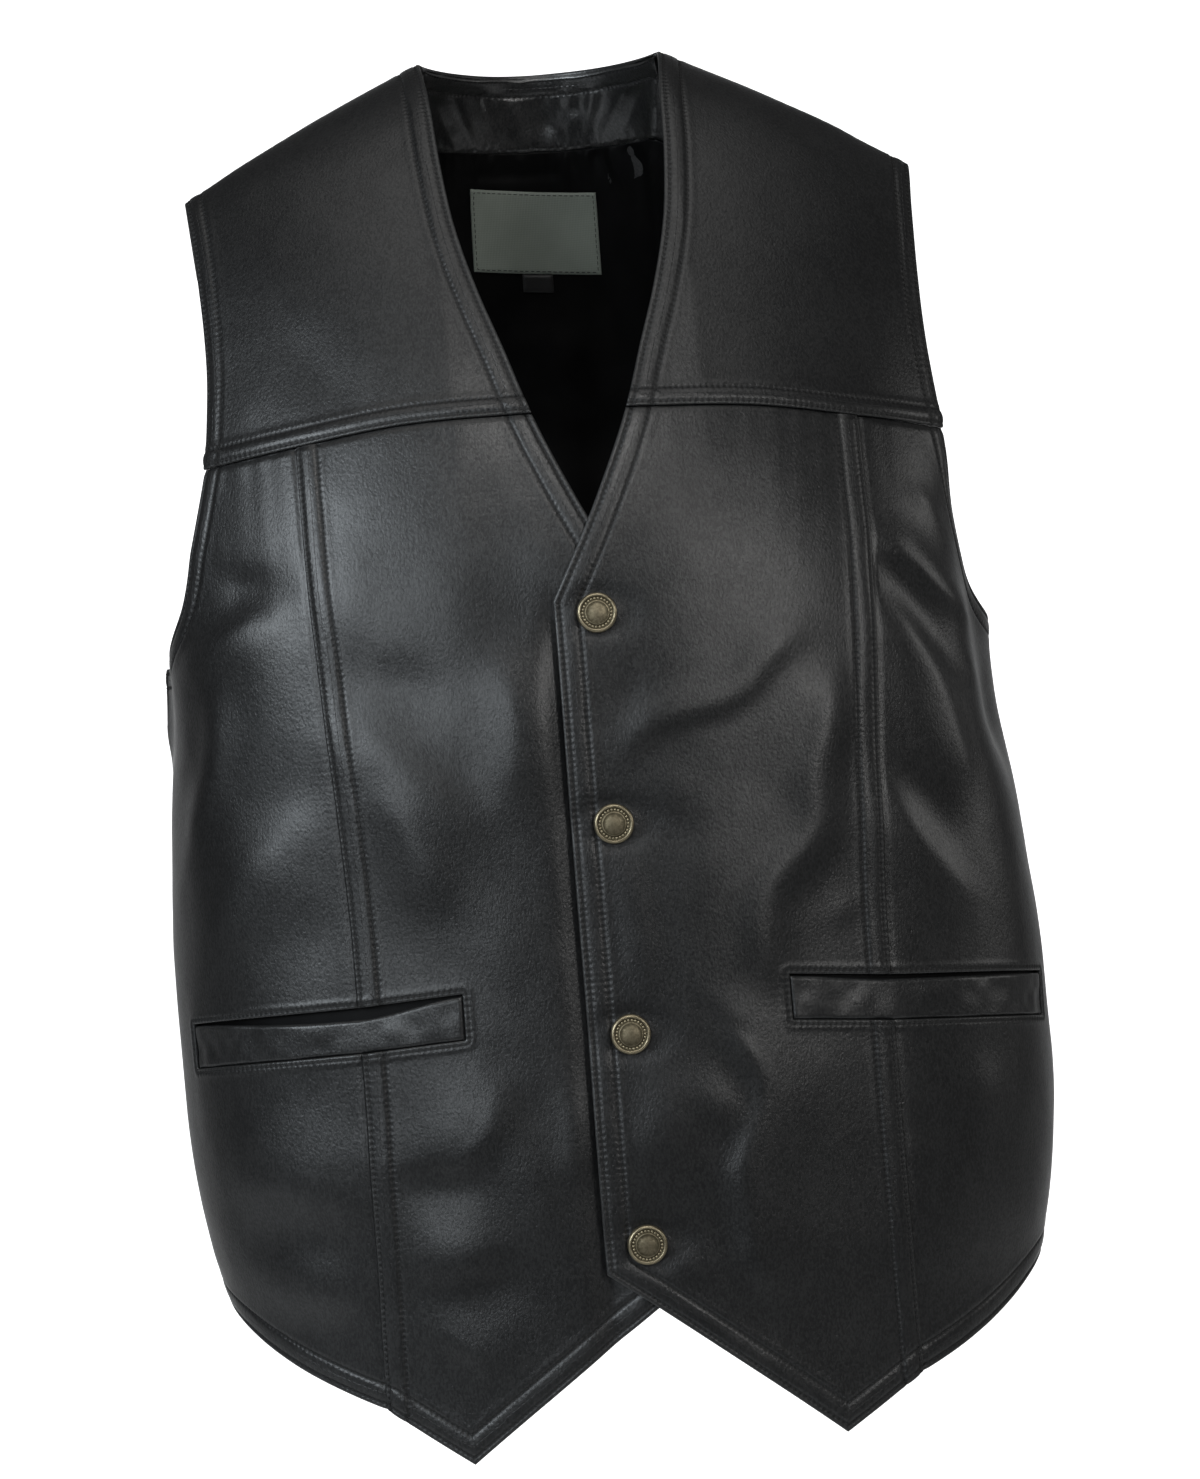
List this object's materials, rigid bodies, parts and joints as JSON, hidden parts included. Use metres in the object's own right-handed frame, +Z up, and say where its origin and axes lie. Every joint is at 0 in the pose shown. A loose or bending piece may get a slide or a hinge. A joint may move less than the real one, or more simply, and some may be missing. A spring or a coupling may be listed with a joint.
{
  "type": "leather vest",
  "caption": "Sleeveless leather vest, hollow and filled out, with yoked fronts, welt pockets, a snap closure and a pointed front hem; worn over a shirt.",
  "frame": {"origin": "midway between the two points where the shoulder seams meet the neck opening, where the wearer's shoulders hold the vest up", "axes": "+Z up along the garment's length, -Y the way the front faces, +X to the wearer's left"},
  "size_m": [0.4028, 0.2417, 0.6345],
  "materials": {
    "black_leather": "smooth black nappa with a soft satin sheen",
    "black_satin": "black satin lining",
    "label_satin": "grey-green woven satin, bare",
    "tab_tape": "black woven tape, bare",
    "antique_brass": "antique brass, worn bright on the rim"
  },
  "bodies": {
    "root": {"front_yoke_right": "black_leather", "front_centre_right": "black_leather", "front_side_right": "black_leather", "pocket_welt_right": "black_leather", "pocket_bag_right": "black_satin", "front_yoke_left": "black_leather", "front_centre_left": "black_leather", "front_side_left": "black_leather", "pocket_welt_left": "black_leather", "pocket_bag_left": "black_satin", "back": "black_leather", "back_neck_facing": "black_leather", "back_lining": "black_satin", "label": "label_satin", "size_tab": "tab_tape", "snap_cap_1": "antique_brass", "snap_post_1": "antique_brass", "snap_cap_2": "antique_brass", "snap_post_2": "antique_brass", "snap_cap_3": "antique_brass", "snap_post_3": "antique_brass", "snap_cap_4": "antique_brass", "snap_post_4": "antique_brass"}
  },
  "joints": []
}
